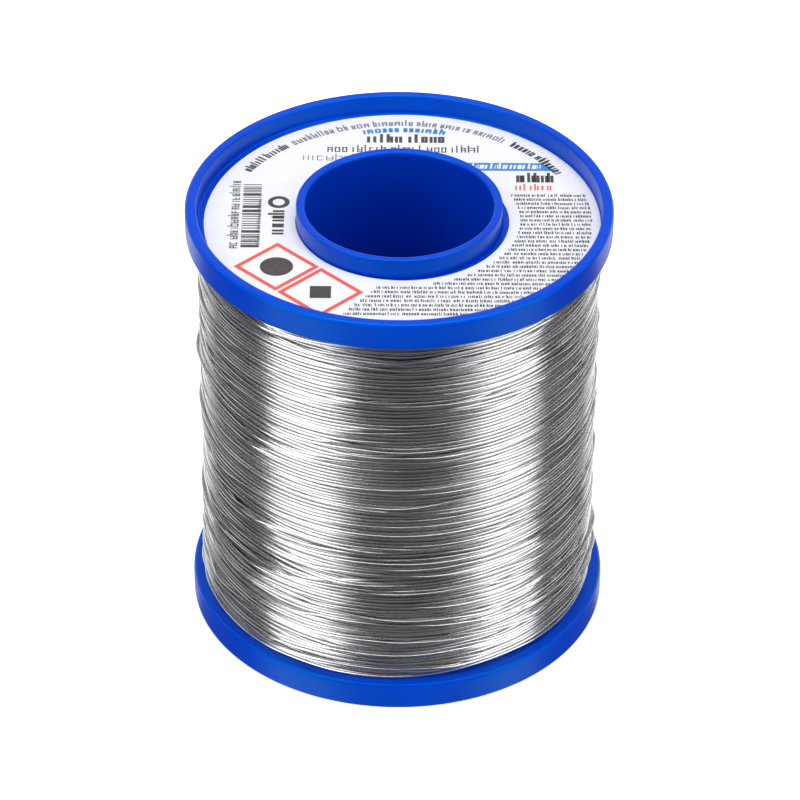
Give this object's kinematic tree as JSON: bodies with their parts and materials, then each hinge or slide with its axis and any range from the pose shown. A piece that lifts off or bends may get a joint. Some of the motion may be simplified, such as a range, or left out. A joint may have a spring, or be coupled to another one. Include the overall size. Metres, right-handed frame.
{
  "type": "solder wire spool",
  "caption": "Reel of solder wire: a tubular barrel between two rimmed flanges, wound full with thin bright wire, with a ring label in the top flange's recess.",
  "frame": {"origin": "middle of the bottom rim's rest face, on the spool's axis", "axes": "+Z along the spool's axis, up from the rest face towards the labelled flange; +X to the label's right as it is read"},
  "size_m": [0.07, 0.07, 0.0776],
  "materials": {
    "blue_plastic": "glossy injection-moulded polystyrene, deep blue",
    "solder": "bright drawn tin-lead solder wire",
    "label_paper": null
  },
  "bodies": {
    "root": {"barrel": "blue_plastic", "flange_bottom": "blue_plastic", "flange_top": "blue_plastic", "solder_wire": "solder", "label": "label_paper"}
  },
  "joints": []
}
